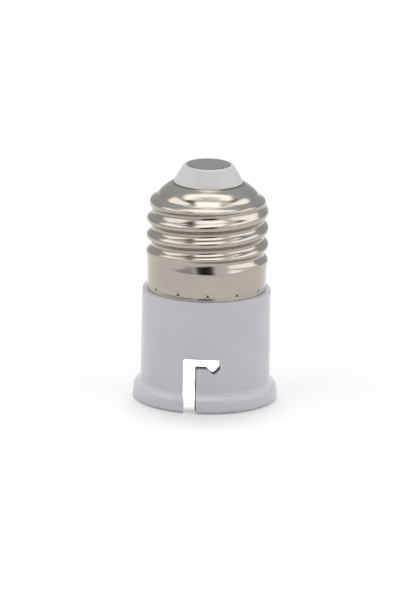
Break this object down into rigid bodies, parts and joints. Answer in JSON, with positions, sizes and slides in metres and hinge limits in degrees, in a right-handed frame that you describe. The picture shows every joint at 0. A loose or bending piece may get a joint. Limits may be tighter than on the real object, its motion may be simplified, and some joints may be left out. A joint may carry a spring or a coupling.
{
  "type": "lamp socket adapter",
  "caption": "Lamp socket adapter with a rolled metal screw cap above and a flared white bayonet lamp holder below, its sprung contacts in the socket.",
  "frame": {"origin": "centre of the bayonet mouth, on the plane that the adapter stands on", "axes": "+Z along the adapter's axis towards the screw cap's tip, Y through the two rest places of the lamp's pins, X through the two sprung contacts"},
  "size_m": [0.031, 0.031, 0.0515],
  "materials": {
    "white_housing": "satin moulded white",
    "nickel_shell": "bright nickel plate",
    "white_insulator": "plain white",
    "tip_metal": "satin nickel plate",
    "block_plastic": "plain white",
    "contact_brass": "turned, plain",
    "spring_steel": "bright wire",
    "solder_tin": "dull tin",
    "lead_copper": "tinned strand",
    "lead_sleeve": "matt sleeve"
  },
  "bodies": {
    "adapter": {"housing": "white_housing", "screw_shell": "nickel_shell", "tip_insulator": "white_insulator", "tip_contact": "tip_metal", "contact_block": "block_plastic", "contact_barrel_left": "contact_brass", "contact_barrel_right": "contact_brass", "plunger_spring_left": "spring_steel", "plunger_spring_right": "spring_steel", "solder_tag_left": "contact_brass", "solder_tag_right": "contact_brass", "tag_solder_left": "solder_tin", "tag_solder_right": "solder_tin", "tip_lead_wire": "lead_copper", "tip_lead_sleeve": "lead_sleeve", "shell_lead_wire": "lead_copper", "shell_lead_sleeve": "lead_sleeve"},
    "left_plunger": {"plunger_left": "contact_brass"},
    "right_plunger": {"plunger_right": "contact_brass"}
  },
  "joints": [
    {"name": "plunger_left_slide", "type": "slide", "parent": "adapter", "child": "left_plunger", "axis": [0, 0, 1], "range_m": [0, 0.0038], "stiffness_N_per_m": 900, "springref_m": -0.003, "deforming": ["plunger_spring_left"]},
    {"name": "plunger_right_slide", "type": "slide", "parent": "adapter", "child": "right_plunger", "axis": [0, 0, 1], "range_m": [0, 0.0038], "stiffness_N_per_m": 900, "springref_m": -0.003, "deforming": ["plunger_spring_right"]}
  ]
}
